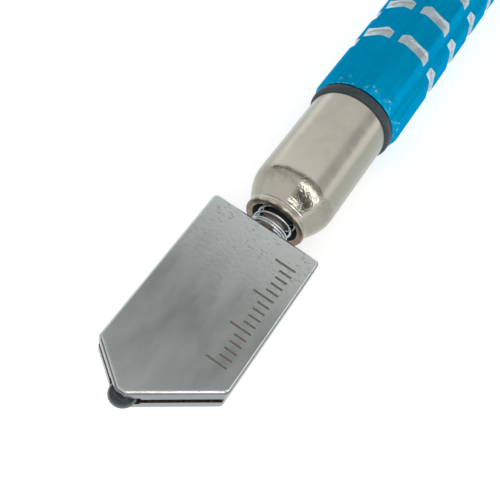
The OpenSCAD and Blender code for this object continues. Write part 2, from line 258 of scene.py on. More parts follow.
class Shading:
    """Nodes of a material or of the surroundings."""

    def __init__(self, owner):
        owner.use_nodes = True
        self.tree = owner.node_tree
        self.tree.nodes.clear()

    def node(self, kind, settings=(), **inputs):
        """Node of one kind with its settings; an input's name has _ in place of its spaces."""
        made = self.tree.nodes.new("ShaderNode" + kind)
        for key, value in dict(settings).items():
            setattr(made, key, value)
        for key, value in inputs.items():
            self.feed(made.inputs[key.replace("_", " ")], value)
        return made

    def feed(self, socket, value):
        """Links or sets an input, whichever the value calls for."""
        if isinstance(value, bpy.types.NodeSocket):
            self.tree.links.new(value, socket)
        elif socket.type == "RGBA":
            socket.default_value = (*value, 1)
        else:
            socket.default_value = value

    def maths(self, operation, *values):
        """One operation of the maths node."""
        made = self.tree.nodes.new("ShaderNodeMath")
        made.operation = operation
        for socket, value in zip(made.inputs, values):
            self.feed(socket, value)
        return made.outputs[0]

    def times(self, first, *others):
        """Product of two or more values."""
        product = first
        for other in others:
            product = self.maths("MULTIPLY", product, other)
        return product

    def gap(self, one, two):
        """How far two values are apart."""
        return self.maths("ABSOLUTE", self.maths("SUBTRACT", one, two))

    def distance(self, across, up):
        """Distance from an axis, from two coordinates at right angles to it."""
        squares = self.maths("MULTIPLY_ADD", across, across, self.times(up, up))
        return self.maths("SQRT", squares)

    def step(self, value, low, high):
        """0 below low and 1 above high, smooth between; with low the larger, 1 below and 0 above."""
        made = self.node("MapRange", {"interpolation_type": "SMOOTHSTEP"}, Value=value)
        ends = (low, high, 0.0, 1.0) if low < high else (high, low, 1.0, 0.0)
        for key, end in zip(("From Min", "From Max", "To Min", "To Max"), ends):
            made.inputs[key].default_value = end
        return made.outputs[0]

    def band(self, value, low, high, soft):
        """1 between two limits, with soft ends."""
        past_low = self.step(value, low - soft, low + soft)
        before_high = self.step(value, high + soft, high - soft)
        return self.times(past_low, before_high)

    def spread(self, value, low, high):
        """Takes the range that a noise mostly keeps to onto low to high."""
        made = self.node("MapRange", Value=value)
        for key, end in zip(("From Min", "From Max", "To Min", "To Max"), (*NOISE_RANGE, low, high)):
            made.inputs[key].default_value = end
        return made.outputs[0]

    def mix(self, share, one, two):
        """Colour between two colours, the second at a share of 1."""
        made = self.node("Mix", {"data_type": "RGBA"})
        self.feed(made.inputs["Factor"], share)
        self.feed(made.inputs[6], one)
        self.feed(made.inputs[7], two)
        return made.outputs[2]

    def blend(self, share, one, two):
        """Number between two numbers, the second at a share of 1."""
        made = self.node("Mix", {"data_type": "FLOAT"})
        self.feed(made.inputs["Factor"], share)
        self.feed(made.inputs[2], one)
        self.feed(made.inputs[3], two)
        return made.outputs[0]


class Finish(Shading):
    """A material's nodes. Positions are in tool millimetres, in the head's frame if turned."""

    def __init__(self, name, turn=0):
        self.material = bpy.data.materials.new(name)
        super().__init__(self.material)
        matrix = to_tool(turn)
        self.place = self.node(
            "Mapping",
            Vector=self.node("TexCoord").outputs["Object"],
            Location=matrix.to_translation(),
            Rotation=matrix.to_euler(),
            Scale=matrix.to_scale(),
        ).outputs[0]
        self.x, self.y, self.z = self.node("SeparateXYZ", Vector=self.place).outputs

    def noise(self, scale, detail=3.0, stretch=(1, 1, 1), warp=0.0):
        """Noise of a given fineness, drawn out along the axes whose stretch is below 1."""
        where = self.node("Mapping", Vector=self.place, Scale=stretch).outputs[0]
        made = self.node("TexNoise", Vector=where, Scale=scale, Detail=detail, Distortion=warp)
        return made.outputs["Fac"]

    def spots(self, scale, stretch=(1, 1, 1), across="3D"):
        """Distance from scattered points, either in space or, across 2D, on an x-y face."""
        where = self.node("Mapping", Vector=self.place, Scale=stretch).outputs[0]
        made = self.node("TexVoronoi", {"voronoi_dimensions": across}, Vector=where, Scale=scale)
        return made.outputs["Distance"]

    def bump(self, height, depth_mm, under=None):
        """Normal raised by a height of 0 to 1, over another normal if there is one."""
        made = self.node("Bump", Height=height, Distance=depth_mm * MM, Strength=1.0)
        if under is not None:
            self.feed(made.inputs["Normal"], under)
        return made.outputs[0]

    def done(self, colour, roughness, metallic=1.0, normal=None, **constants):
        """The finished material, once its surface is wired up."""
        shader = self.node("BsdfPrincipled")
        self.feed(shader.inputs["Base Color"], colour)
        self.feed(shader.inputs["Roughness"], roughness)
        self.feed(shader.inputs["Metallic"], metallic)
        if normal is not None:
            self.feed(shader.inputs["Normal"], normal)
        for key, value in constants.items():
            self.feed(shader.inputs[key.replace("_", " ")], value)
        self.node("OutputMaterial", Surface=shader.outputs[0])
        return self.material


def linear(red, green, blue):
    """Linear colour of an sRGB colour given as 0 to 255."""
    shares = [value / 255 for value in (red, green, blue)]
    return tuple(s / 12.92 if s <= 0.04045 else ((s + 0.055) / 1.055) ** 2.4 for s in shares)


def blue_anodising():
    """Dyed satin aluminium, with bare metal chipped free along the rims of the lobes, and lighter cyan near
    the rims for thinned dye and a painted edge highlight.
    """
    f = Finish("blue_anodised")
    low, high = span("handle_barrel")
    chip_reach, chip_soft = 0.12, 0.02      # how far chips eat in from a rim, and their soft border
    lighter_near, lighter_far = 0.03, 0.2         # lighter cyan near a rim, for thinned dye and a painted edge highlight, full dye past the far distance
    bore_side, outer_side = 5.0, 5.2        # radii that part the bore, without wear, from the outside
    # radius of the lobed surface in this direction, and of the tapered ends at this x
    turn = f.maths("ARCTAN2", f.y, f.z)
    lobe = f.gap(f.maths("WRAP", turn, 2 * LOBE_HALF, 0.0), LOBE_HALF)
    facet_r = f.maths("DIVIDE", APOTHEM, f.maths("COSINE", lobe))
    flank_turn = f.maths("SUBTRACT", lobe, FLANK_TURN)
    flank_r = f.maths("DIVIDE", FLANK_APOTHEM, f.maths("COSINE", flank_turn))
    lobed_r = f.maths("MINIMUM", facet_r, flank_r)
    from_end = f.maths("MINIMUM", f.maths("SUBTRACT", f.x, low.x), f.maths("SUBTRACT", high.x, f.x))
    taper_r = f.maths("MULTIPLY_ADD", from_end, (RIDGE_R - EDGE_R) / EDGE_LEN, EDGE_R)
    # distance from the nearest rim, where a taper meets the lobes or an end
    radius = f.distance(f.y, f.z)
    off_taper = f.gap(taper_r, radius)
    off_rim = f.maths("MAXIMUM", f.gap(lobed_r, radius), off_taper)
    off_end = f.maths("MAXIMUM", off_taper, f.maths("ABSOLUTE", from_end))
    off_edge = f.maths("MINIMUM", off_rim, off_end)
    chips = f.step(f.noise(3.0, 4, warp=0.6), 0.56, 0.74)
    past_chip = f.maths("SUBTRACT", off_edge, f.times(chips, chip_reach))
    worn = f.times(f.step(past_chip, 0.0, -chip_soft), f.step(radius, bore_side, outer_side))
    # lighter cyan near the rims: partly thinned dye, partly a painted edge highlight
    thinned_dye_and_highlight = f.times(f.step(off_edge, lighter_far, lighter_near), f.step(f.noise(1.6, 4), 0.46, 0.66))
    # dye: long soft streaks left by the draw lines, and faint clouds
    streaks = f.noise(1.3, 4, stretch=(0.07, 1, 1))
    clouds = f.noise(0.35, 3)
    cloud_share = 0.4
    shade = f.spread(f.blend(cloud_share, streaks, clouds), 0.0, 1.0)
    colour = f.mix(shade, linear(0, 150, 195), linear(0, 166, 211))
    colour = f.mix(thinned_dye_and_highlight, colour, linear(60, 190, 228))
    colour = f.mix(worn, colour, linear(214, 218, 214))
    grain = f.noise(14, 2, stretch=(0.25, 1, 1))
    rough = f.blend(worn, f.spread(grain, 0.5, 0.62), 0.3)
    normal = f.bump(worn, -0.02, f.bump(grain, 0.0035))
    return f.done(colour, rough, 1.0, normal, Specular_Tint=(0.1, 0.6, 0.85))


def bare_cut():
    """Bright turned aluminium of the ring cuts, with fine lathe lines."""
    f = Finish("bare_aluminium")
    lines = f.noise(6, 2, stretch=(3, 0.15, 0.15))
    clouds = f.noise(1.6, 2)
    colour = f.mix(f.spread(clouds, 0.0, 1.0), linear(172, 190, 196), linear(200, 212, 216))
    return f.done(colour, f.spread(lines, 0.24, 0.34), 1.0, f.bump(lines, 0.0006))


def nickel(name="nickel_plate", shoulder=True):
    """Warm nickel plate, faintly cloudy; if asked, with marks of use on the ferrule's shoulder and painted
    shade on its flanks and in its mouth.
    """
    f = Finish(name)
    clouds = f.noise(0.5, 4, warp=0.4)
    colour = f.mix(f.spread(clouds, 0.0, 1.0), linear(200, 197, 183), linear(209, 205, 190))
    pits = f.times(f.step(f.spots(1.7), 0.055, 0.03), f.step(f.noise(0.8, 1), 0.54, 0.6), 0.55)
    colour = f.mix(pits, colour, linear(98, 84, 70))
    rough = f.spread(clouds, 0.2, 0.27)
    normal = f.bump(f.noise(9, 3, stretch=(0.6, 1, 1)), 0.0012)
    if not shoulder:
        return f.done(colour, rough, 1.0, normal)
    # ramps along the ferrule, from its mouth, each given as (0 at, 1 at)
    film_front, film_rear = (3.6, 5.2), (5.9, 5.8)
    line_front, line_rear = (5.75, 5.85), (6.05, 5.9)
    polish_front, polish_rear = (0.5, 0.9), (5.0, 4.2)
    copper_rear, mouth_shade_front = (0.72, 0.42), (0.1, 0.4)
    from_mouth = f.maths("SUBTRACT", f.x, span("ferrule")[0].x)
    # a broken tide line, with a brown film in front of it, that wanders along the ferrule
    tide = f.maths("MULTIPLY_ADD", f.noise(0.55, 4, warp=0.8), 2.2, from_mouth)
    line = f.times(f.step(tide, *line_front), f.step(tide, *line_rear))
    line = f.times(line, f.step(f.noise(0.7, 3), 0.46, 0.56), 0.6)
    colour = f.mix(line, colour, linear(120, 96, 78))
    film = f.times(f.step(tide, *film_rear), f.step(tide, *film_front))
    film = f.times(film, f.spread(f.noise(1.3, 4, warp=0.6), 0.15, 0.6))
    colour = f.mix(film, colour, linear(134, 122, 106))
    # the drawn shoulder is polished, but its plate is finely wrinkled
    polished = f.times(f.step(from_mouth, *polish_rear), f.step(from_mouth, *polish_front))
    rough = f.blend(polished, rough, 0.12)
    normal = f.bump(f.times(f.noise(4.2, 3), polished), 0.026, normal)
    # painted shade down both flanks, away from a line a little to one side of the top
    unshaded_turn, flank_from, flank_full = radians(10), radians(38), radians(52)
    turn = f.maths("ARCTAN2", f.times(f.y, -1.0), f.z)
    painted_flank_shade = f.times(f.step(f.gap(turn, unshaded_turn), flank_from, flank_full), 0.75)
    colour = f.mix(painted_flank_shade, colour, linear(132, 134, 122))
    # coppery front of the lip, and painted shade inside the mouth
    copper = f.maths("MULTIPLY_ADD", f.noise(1.4, 3), 0.9, from_mouth)
    colour = f.mix(f.times(f.step(copper, *copper_rear), 0.75), colour, linear(124, 98, 78))
    radius = f.distance(f.y, f.z)
    # painted shade: dark slate, dull and not metallic, on the bore just inside the mouth
    inside = f.times(f.step(radius, POCKET_R + 0.15, POCKET_R + 0.05), f.step(from_mouth, *mouth_shade_front))
    colour = f.mix(inside, colour, linear(84, 98, 106))
    rough = f.blend(inside, rough, 0.6)
    return f.done(colour, rough, f.maths("SUBTRACT", 1.0, inside), normal)


def rubber(name, dark, light):
    """Moulded rubber with dust in its pores."""
    f = Finish(name)
    clouds = f.noise(1.2, 4)
    dust = f.times(f.step(f.spots(2.3), 0.1, 0.05), f.step(f.noise(1.1, 2), 0.52, 0.6), 0.7)
    colour = f.mix(f.spread(clouds, 0.0, 1.0), dark, light)
    colour = f.mix(dust, colour, linear(130, 135, 132))
    pores = f.bump(f.noise(12, 3), 0.006)
    return f.done(colour, f.spread(clouds, 0.5, 0.66), 0.0, pores, Specular_IOR_Level=0.45)


def wire():
    """Bright drawn spring wire with faint draw marks."""
    f = Finish("spring_wire")
    marks = f.noise(7, 3)
    colour = f.mix(f.spread(marks, 0.0, 1.0), linear(188, 194, 196), linear(222, 226, 226))
    return f.done(colour, f.spread(marks, 0.14, 0.26), 1.0, f.bump(marks, 0.001))


def turned_steel(name, dark, light, rough=(0.3, 0.44), turn=0, metallic=1.0, shaded_from=None):
    """Turned steel with rings left by the tool, given painted shade behind some distance along the handle.
    """
    f = Finish(name, turn)
    shade_ramp = 1.2
    rings = f.noise(5, 2, stretch=(3, 0.1, 0.1))
    film = f.noise(0.9, 4)
    colour = f.mix(f.spread(film, 0.0, 1.0), dark, light)
    # painted shade: dark slate where the shaft runs into the ferrule's pocket
    if shaded_from is not None:
        colour = f.mix(f.step(f.x, shaded_from, shaded_from + shade_ramp), colour, linear(84, 90, 92))
    return f.done(colour, f.spread(rings, *rough), metallic, f.bump(rings, 0.004))


def etched_scale(f, low, high):
    """Share taken by the scale marks etched beside one long edge of the face: longer at every fifth."""
    first, pitch, count = high.x - 18.2, 1.0, 16
    stroke_half, short, long, edge_gap = 0.15, 1.7, 2.9, 1.75
    side_soft, end_soft = 0.02, 0.03
    from_first = f.maths("SUBTRACT", f.x, first)
    from_edge = f.maths("SUBTRACT", f.y, low.y + edge_gap)
    off_mark = f.maths("PINGPONG", from_first, pitch / 2)
    off_fifth = f.maths("PINGPONG", from_first, pitch * 2.5)
    length = f.blend(f.step(off_fifth, pitch * 0.55, pitch * 0.5), short, long)
    stroke = f.step(off_mark, stroke_half + side_soft, stroke_half - side_soft)
    after_start = f.step(from_edge, -end_soft, end_soft)
    before_end = f.step(f.maths("SUBTRACT", length, from_edge), -end_soft, end_soft)
    # the row starts half a pitch before its first mark and stops half a pitch past its last
    in_row = f.times(f.step(from_first, -pitch * 0.5, -pitch * 0.4),
                     f.step(from_first, (count - 0.4) * pitch, (count - 0.5) * pitch))
    on_face = f.step(f.z, high.z - 0.1, high.z - 0.05)
    faded = f.spread(f.noise(5, 3), 0.85, 1.0)
    return f.times(stroke, after_start, before_end, in_row, on_face, faded)


def head_chrome():
    """Satin chrome of the head, with a painted highlight and a painted dark reflection on the bevels, a
    painted blue-grey reflection on the rim, fine specks and an etched plain scale.
    """
    f = Finish("head_chrome", HEAD_ROLL)
    low, high = span("head_body", HEAD_ROLL)
    clouds = f.noise(0.5, 4, stretch=(0.35, 1, 1))
    colour = f.mix(f.spread(clouds, 0.0, 1.0), linear(188, 195, 193), linear(196, 201, 198))
    # specks and short hairlines gather towards the edge by the handle
    near_handle = f.times(f.step(f.x, high.x - 11, high.x - 1), f.step(f.noise(0.45, 3), 0.45, 0.55))
    specks = f.step(f.spots(1.3, across="2D"), 0.12, 0.06)
    hairs = f.step(f.spots(0.6, (4.5, 0.7, 1), "2D"), 0.15, 0.08)
    marks = f.times(f.maths("MAXIMUM", specks, hairs), near_handle, 0.6)
    colour = f.mix(marks, colour, linear(92, 96, 94))
    # ramps below the face, each given as (0 at, 1 at): the bevel has a painted highlight along its upper
    # edge and a painted dark reflection lower down, and a painted blue-grey reflection on the rim starts
    # under it
    highlight_top, highlight_end = (0.015, 0.03), (0.12, 0.1)
    reflection_top, reflection_end, side_reflection_top = (0.13, 0.16), (0.36, 0.32), (0.34, 0.4)
    below_face = f.maths("SUBTRACT", high.z, f.maths("ABSOLUTE", f.z))
    bevel_light_sides = f.step(f.y, high.y - 0.4, high.y - 0.6)
    bevel_highlight = f.times(f.step(below_face, *highlight_top), f.step(below_face, *highlight_end), bevel_light_sides)
    bevel_highlight = f.times(bevel_highlight, f.spread(f.noise(0.8, 3), 0.0, 0.8))
    bevel_reflection = f.times(f.step(below_face, *reflection_top), f.step(below_face, *reflection_end), bevel_light_sides, 0.8)
    colour = f.mix(f.step(below_face, *side_reflection_top), colour, linear(124, 131, 134))
    colour = f.mix(bevel_highlight, colour, linear(236, 238, 236))
    colour = f.mix(bevel_reflection, colour, linear(108, 98, 102))
    etched = etched_scale(f, low, high)
    colour = f.mix(etched, colour, linear(112, 105, 94))
    rough = f.blend(etched, f.spread(clouds, 0.2, 0.25), 0.5)
    normal = f.bump(etched, -0.01, f.bump(f.noise(1.8, 3), 0.006))
    return f.done(colour, rough, 1.0, normal)


def slot_wall():
    """Sawn steel inside the head's slot and bores, in dark browns."""
    f = Finish("slot_wall", HEAD_ROLL)
    saw = f.noise(5, 3, stretch=(0.3, 1, 2))
    colour = f.mix(f.spread(saw, 0.0, 1.0), linear(70, 58, 54), linear(112, 98, 92))
    return f.done(colour, f.spread(saw, 0.5, 0.65), 1.0, f.bump(saw, 0.02))


def carbide():
    """Dark sintered carbide, lighter and olive at the cutting edge: its ground finish and a painted rim
    highlight.
    """
    f = Finish("carbide", HEAD_ROLL)
    low, high = span("cutting_wheel", HEAD_ROLL)
    middle = (low + high) / 2
    rim_r = (high.x - low.x) / 2
    radius = f.distance(f.maths("SUBTRACT", f.x, middle.x), f.maths("SUBTRACT", f.y, middle.y))
    # lighter olive rim: partly the ground finish, partly a painted rim highlight
    ground = f.step(radius, rim_r - 0.16, rim_r - 0.06)
    grain = f.noise(7, 4)
    colour = f.mix(f.spread(grain, 0.0, 1.0), linear(70, 78, 84), linear(92, 98, 104))
    colour = f.mix(ground, colour, linear(112, 112, 102))
    rough = f.blend(ground, f.spread(grain, 0.4, 0.5), 0.26)
    return f.done(colour, rough, 0.9, f.bump(grain, 0.004))


def brass():
    """Turned brass, unevenly tarnished."""
    f = Finish("brass")
    film = f.noise(1.1, 4)
    colour = f.mix(f.spread(film, 0.0, 1.0), linear(176, 142, 78), linear(208, 176, 110))
    return f.done(colour, f.spread(film, 0.22, 0.36), 1.0, f.bump(film, 0.004))


def cotton():
    """Oil-soaked twisted cotton."""
    f = Finish("cotton", HEAD_ROLL)
    strands = f.noise(4, 4, stretch=(0.6, 2, 2), warp=1.0)
    colour = f.mix(f.spread(strands, 0.0, 1.0), linear(150, 132, 98), linear(214, 200, 170))
    return f.done(colour, 0.85, 0.0, f.bump(strands, 0.05), Sheen_Weight=0.3)


ANODISED = blue_anodising()
BARE = bare_cut()
NICKEL = nickel()
NICKEL_CAP = nickel("nickel_cap", shoulder=False)
SLATE_RUBBER = rubber("black_rubber", linear(36, 48, 54), linear(58, 70, 76))
WIRE = wire()
SHADE_REACH = 0.6               # how far in front of the ferrule the spindle's painted shade starts
SPINDLE_STEEL = turned_steel("turned_steel", linear(176, 166, 152), linear(204, 196, 184), (0.4, 0.55),
                             metallic=0.6, shaded_from=span("ferrule")[0].x - SHADE_REACH)
BRIGHT_STEEL = turned_steel("bright_steel", linear(176, 180, 180), linear(206, 208, 206), (0.2, 0.32),
                            HEAD_ROLL)
CHROME = head_chrome()
SLOT_WALL = slot_wall()
CARBIDE = carbide()
BRASS = brass()
COTTON = cotton()

# ---------- handle ----------

def lobed_outline():
    """Cross-section of the barrel as (y, z) points, with its ridges and valleys rounded."""
    ridge_round, valley_round = 0.7, 0.9
    corners = []
    for k in range(LOBES):
        middle = (2 * k + 1) * LOBE_HALF
        for turn, r, radius in (
            (-FACET_HALF, RIDGE_R, ridge_round),
            (FACET_HALF, RIDGE_R, ridge_round),
            (LOBE_HALF, VALLEY_R, valley_round)
        ):
            corners.append((r * sin(middle + turn), r * cos(middle + turn), radius))
    return rounded(corners)


def handle_barrel():
    """Lobed bar with tapered ends, ring cuts that only reach its lobes, and a bore right through."""
    low, high = span("handle_barrel")
    bore_r, socket_len, rim_round, over = 4.5, 8.5, 0.15, 1.0
    section = lobed_outline()
    made = solid("handle_barrel_shell", skin([[Vector((x, y, z)) for y, z in section]
                                              for x in (low.x, high.x)]), ANODISED)
    past_ridge = RIDGE_R + over
    taper = EDGE_LEN * (past_ridge - EDGE_R) / (RIDGE_R - EDGE_R)
    envelope = rounded([
        (low.x, 0, 0), (low.x, EDGE_R, rim_round), (low.x + taper, past_ridge, 0),
        (high.x - taper, past_ridge, 0), (high.x, EDGE_R, rim_round), (high.x, 0, 0)
    ])
    combine(made, [(lathe(envelope, HANDLE_SIDES), ANODISED)], "INTERSECT")
    # ring cuts, wider at the surface than at their floor
    first, pitch, count = 13.0, 7.0, 10
    mouth, floor, depth, floor_round = 2.05, 1.6, 0.46, 0.12
    flare = (mouth - floor) / 2 / depth
    half_floor = floor / 2
    half_top = half_floor + flare * (depth + over)
    cuts = []
    for k in range(count):
        x = first + k * pitch
        groove = rounded([
            (x - half_floor, RIDGE_R - depth, floor_round), (x - half_top, past_ridge, 0),
            (x + half_top, past_ridge, 0), (x + half_floor, RIDGE_R - depth, floor_round)
        ])
        cuts.append((lathe(groove, HANDLE_SIDES), BARE))
    thread_depth, thread_pitch = 0.25, 1.0
    rear_thread = threaded(high.x - socket_len + over, high.x + over, SOCKET_R, SOCKET_R + thread_depth,
                           thread_pitch)
    bores = [
        (rod(low.x - over, high.x + over, bore_r), BARE),
        (rod(low.x - over, low.x + socket_len, SOCKET_R), BARE),
        (rear_thread, BARE),
    ]
    combine(made, cuts + bores)
    edge_softness = 0.035
    soften(made, edge_softness)
    return place(made, "handle", "handle_barrel")


def gasket_ring(low, high, edge_round):
    """Rubber ring between two corners, rounded at its outer edges."""
    outer = (high.y - low.y) / 2
    return lathe(rounded([
        (low.x, SOCKET_R, 0), (low.x, outer, edge_round), (high.x, outer, edge_round), (high.x, SOCKET_R, 0)
    ]))


def ferrule_gasket():
    """Thick ring between the ferrule and the barrel."""
    made = solid("ferrule_gasket_ring", gasket_ring(*span("ferrule_gasket"), 0.55), SLATE_RUBBER)
    return place(made, "handle", "ferrule_gasket")


def ferrule():
    """Sleeve with a lip round its mouth, a rounded shoulder, and a spigot that fits in the barrel."""
    low, high = span("ferrule")
    outer = (high.y - low.y) / 2
    mouth = low.x
    pocket_len, guide_r, spigot_r, chamber_r, chamber_x = 10.0, 1.8, 4.7, 3.3, 1.5
    lip_r, lip_len, neck_r, neck_from, neck_to = 4.25, 0.4, 4.14, 0.62, 1.1
    lip_round, neck_round = 0.3, 0.8
    # the shoulder's two bends: distance from the mouth, radius and rounding
    first_bend, second_bend = (2.48, 5.03, 11), (4.45, outer, 4.8)
    profile = rounded([
        (mouth + pocket_len, guide_r, 0), (mouth + pocket_len, POCKET_R, 0), (mouth, POCKET_R, lip_round),
        (mouth, lip_r, lip_round), (mouth + lip_len, lip_r, 0.2), (mouth + neck_from, neck_r, 0.2),
        (mouth + neck_to, neck_r, neck_round), (mouth + first_bend[0], *first_bend[1:]),
        (mouth + second_bend[0], *second_bend[1:]), (0, outer, 0.12), (0, spigot_r, 0),
        (high.x, spigot_r, 0.3), (high.x, chamber_r, 0), (chamber_x, chamber_r, 0), (chamber_x, guide_r, 0)
    ])
    made = solid("ferrule_sleeve", lathe(profile, HANDLE_SIDES), NICKEL)
    return place(made, "handle", "ferrule")


def return_spring():
    """Round wire wound with closed coils at both ends."""
    low, high = span("return_spring")
    wire_d, mean_r = 0.35, 2.5
    front_coils, open_coils, rear_coils = 2.0, 9.0, 1.5
    sides, steps, start_turn, coil_gap = 14, 40, 0.328, 0.02
    x_from, x_to = low.x + wire_d / 2, high.x - wire_d / 2
    closed = wire_d + coil_gap
    pitch = (x_to - x_from - (front_coils + rear_coils) * closed) / open_coils
    turns = front_coils + open_coils + rear_coils
    loops = []
    for i in range(round(turns * steps) + 1):
        turn = i / steps
        x = x_from + closed * min(turn, front_coils)
        x += pitch * max(0, min(turn - front_coils, open_coils))
        x += closed * max(0, turn - front_coils - open_coils)
        angle = TAU * (turn + start_turn)
        loop = []
        for s in range(sides):
            side = TAU * s / sides
            r = mean_r + wire_d / 2 * cos(side)
            loop.append(Vector((x + wire_d / 2 * sin(side), r * cos(angle), r * sin(angle))))
        loops.append(loop)
    made = place(solid("return_spring_wire", skin(loops), WIRE), "handle", "return_spring")
    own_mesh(made)
    return made


def spindle():
    """Shaft with a thinner journal in the head, grooved for the head's screw, and a stud behind."""
    low, high = span("spindle")
    head_top = span("head_body")[1].x
    shaft_r, journal_r, stud_r, stud_x, groove_r = 1.75, 1.5, 1.25, 1.5, 1.05
    head_gap, groove_half = 0.05, 0.6
    shoulder_x = head_top + head_gap
    groove_from = head_top - SCREW_SETBACK - groove_half
    groove_to = head_top - SCREW_SETBACK + groove_half
    profile = rounded([
        (low.x, 0, 0), (low.x, journal_r, 0.15), (groove_from, journal_r, 0.05),
        (groove_from, groove_r, 0.1), (groove_to, groove_r, 0.1), (groove_to, journal_r, 0.05),
        (shoulder_x, journal_r, 0), (shoulder_x, shaft_r, 0.08), (stud_x, shaft_r, 0.05),
        (stud_x, stud_r, 0), (high.x, stud_r, 0.2), (high.x, 0, 0)
    ])
    made = solid("spindle_shaft", lathe(profile, BORE_SIDES), SPINDLE_STEEL)
    return place(made, "spindle", "spindle")


# ---------- head ----------

def upright(bm, x, y):
    """Stands a piece made along the handle's axis across the head, at (x, y)."""
    return moved(bm, Matrix.Translation((x, y, 0)) @ Matrix.Rotation(-pi / 2, 4, "Y"))


def head_outline(inset):
    """Outline of the head's plate, drawn in by an inset, as (x, y) points."""
    low, high = span("head_body", HEAD_ROLL)
    wheel_low, wheel_high = span("cutting_wheel", HEAD_ROLL)
    nose_w, slope = 1.1, tan(radians(36.3))
    top_round, right_round, left_round, nose_round = 0.6, 0.8, 0.35, 0.14
    tip_y = (wheel_low.y + wheel_high.y) / 2
    nose_left, nose_right = tip_y + nose_w / 2, tip_y - nose_w / 2
    left_x = low.x + (high.y - nose_left) * slope
    right_x = low.x + (nose_right - low.y) * slope
    corners = [
        (high.x, high.y, top_round), (high.x, low.y, top_round), (right_x, low.y, right_round),
        (low.x, nose_right, nose_round), (low.x, nose_left, nose_round), (left_x, high.y, left_round)
    ]
    drawn_in = []
    count = len(corners)
    for i, (x, y, radius) in enumerate(corners):
        here = Vector((x, y))
        into = (here - Vector(corners[i - 1][:2])).normalized()
        out = (Vector(corners[(i + 1) % count][:2]) - here).normalized()
        # both edges move in by the inset, to the side that the outline turns to
        inward_in = Vector((into.y, -into.x))
        inward_out = Vector((out.y, -out.x))
        shift = (inward_in + inward_out) * (inset / (1 + inward_in.dot(inward_out)))
        drawn_in.append((*(here + shift), radius))
    return rounded(drawn_in)


def head_body():
    """Bevelled plate, slotted along both edges of its tip, and bored for the wheel, screw and spindle."""
    low, high = span("head_body", HEAD_ROLL)
    wheel_low, wheel_high = span("cutting_wheel", HEAD_ROLL)
    wheel = (wheel_low + wheel_high) / 2
    half_t = high.z
    bevel, bevel_round, border = 0.32, 0.16, 0.3
    # half of the plate's side as (inset, height), from inside the bevel down to the middle plane
    side = rounded([
        (bevel + border, half_t, 0), (bevel, half_t, bevel_round),
        (0, half_t - bevel, bevel_round), (0, 0, 0)
    ], closed=False)
    levels = side + [Vector((inset, -z)) for inset, z in reversed(side[:-1])]
    made = solid("head_plate", skin([[Vector((x, y, z)) for x, y in head_outline(inset)]
                                     for inset, z in levels]), CHROME)
    slot_w, slot_len = 1.3, 6.65
    pocket_r, pocket_half = 2.1, 1.1
    axle_r, axle_cover = 0.62, 0.8
    screw_r = 1.27
    journal_r, journal_len = 1.55, 9.0
    over = 1.0

    def drill(x, y, z_from, z_to, r):
        return upright(rod(z_from, z_to, r, BORE_SIDES), x, y)

    slot = plate([
        (low.x - over, low.y - over), (low.x - over, high.y + over),
        (low.x + slot_len, high.y + over), (low.x + slot_len, low.y - over)
    ], -slot_w / 2, slot_w / 2)
    combine(made, [
        (slot, SLOT_WALL),
        (drill(wheel.x, wheel.y, -pocket_half, pocket_half, pocket_r), SLOT_WALL),
        (drill(wheel.x, wheel.y, -half_t - over, pocket_half + axle_cover, axle_r), SLOT_WALL),
        (drill(high.x - SCREW_SETBACK, 0, -half_t - over, 0, screw_r), SLOT_WALL),
        (rod(high.x - journal_len, high.x + over, journal_r, BORE_SIDES), SLOT_WALL),
    ])
    edge_softness = 0.03
    soften(made, edge_softness)
    return place(made, "head", "head_body", HEAD_ROLL)


def cutting_wheel():
    """Disc with a hub on each side, bored for its axle and ground to an edge round its rim."""
    low, high = span("cutting_wheel", HEAD_ROLL)
    middle = (low + high) / 2
    rim_r, half_hub, half_t, edge = (high.x - low.x) / 2, high.z, 0.5, 0.22
    hub_r, bore_r = 1.05, 0.65
    profile = rounded([
        (-half_hub, bore_r, 0.05), (-half_hub, hub_r, 0.06), (-half_t, hub_r, 0.05),
        (-half_t, rim_r - edge, 0.06), (0, rim_r, 0.02), (half_t, rim_r - edge, 0.06),
        (half_t, hub_r, 0.05), (half_hub, hub_r, 0.06), (half_hub, bore_r, 0.05)
    ])
    made = solid("cutting_wheel_disc", upright(lathe(profile), middle.x, middle.y), CARBIDE)
    return place(made, "wheel", "cutting_wheel", HEAD_ROLL)


def wheel_axle():
    """Plain pin with rounded ends."""
    low, high = span("wheel_axle", HEAD_ROLL)
    middle = (low + high) / 2
    r, end_round = (high.x - low.x) / 2, 0.12
    profile = rounded([(low.z, 0, 0), (low.z, r, end_round), (high.z, r, end_round), (high.z, 0, 0)])
    made = solid("wheel_axle_pin", upright(lathe(profile, PIN_SIDES), middle.x, middle.y), BRIGHT_STEEL)
    return place(made, "head", "wheel_axle", HEAD_ROLL)


def head_screw():
    """Slotted screw with a thinner plain point, which runs in the spindle's groove."""
    low, high = span("head_screw", HEAD_ROLL)
    middle = (low + high) / 2
    r, point_r, thread_top = (high.y - low.y) / 2, 0.5, -1.55
    profile = rounded([
        (low.z, 0, 0), (low.z, r, 0.18), (thread_top, r, 0.1), (thread_top, point_r, 0),
        (high.z, point_r, 0.1), (high.z, 0, 0)
    ])
    made = solid("head_grub_screw", upright(lathe(profile, PIN_SIDES), middle.x, 0), BRIGHT_STEEL)
    slot_from, slot_to, slot_depth = middle.x - 0.2, middle.x + 0.2, 0.35
    slot = plate([(slot_from, -r * 2), (slot_from, r * 2), (slot_to, r * 2), (slot_to, -r * 2)],
                 low.z - 1, low.z + slot_depth)
    combine(made, [(slot, SLOT_WALL)])
    return place(made, "head", "head_screw", HEAD_ROLL)


# ---------- filler cap ----------

